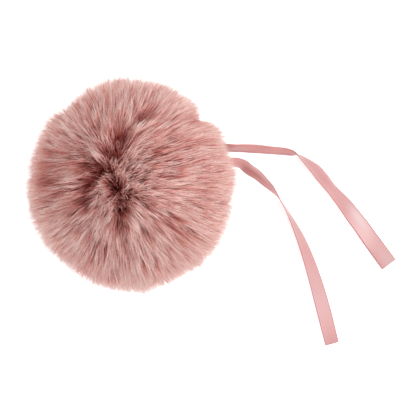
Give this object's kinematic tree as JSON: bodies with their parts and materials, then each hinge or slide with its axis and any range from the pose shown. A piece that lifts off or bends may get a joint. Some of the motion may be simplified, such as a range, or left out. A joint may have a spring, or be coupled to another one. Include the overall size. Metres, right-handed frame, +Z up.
{
  "type": "pom pom with ribbon tails",
  "caption": "Soft round pom pom of long pile with a satin ribbon caught in its gather and two free tails.",
  "frame": {"origin": "middle of the ball's flat spot, on the surface it lies on", "axes": "+Z up, away from the surface, +X towards the side where the ribbon tails leave the ball"},
  "size_m": [0.2151, 0.1542, 0.1146],
  "materials": {
    "pile": "long soft pile, dusty pink with paler tips and dark roots",
    "satin": "woven satin ribbon, pink, soft sheen"
  },
  "bodies": {
    "root": {"pompom": "pile", "ribbon": "satin"}
  },
  "joints": []
}
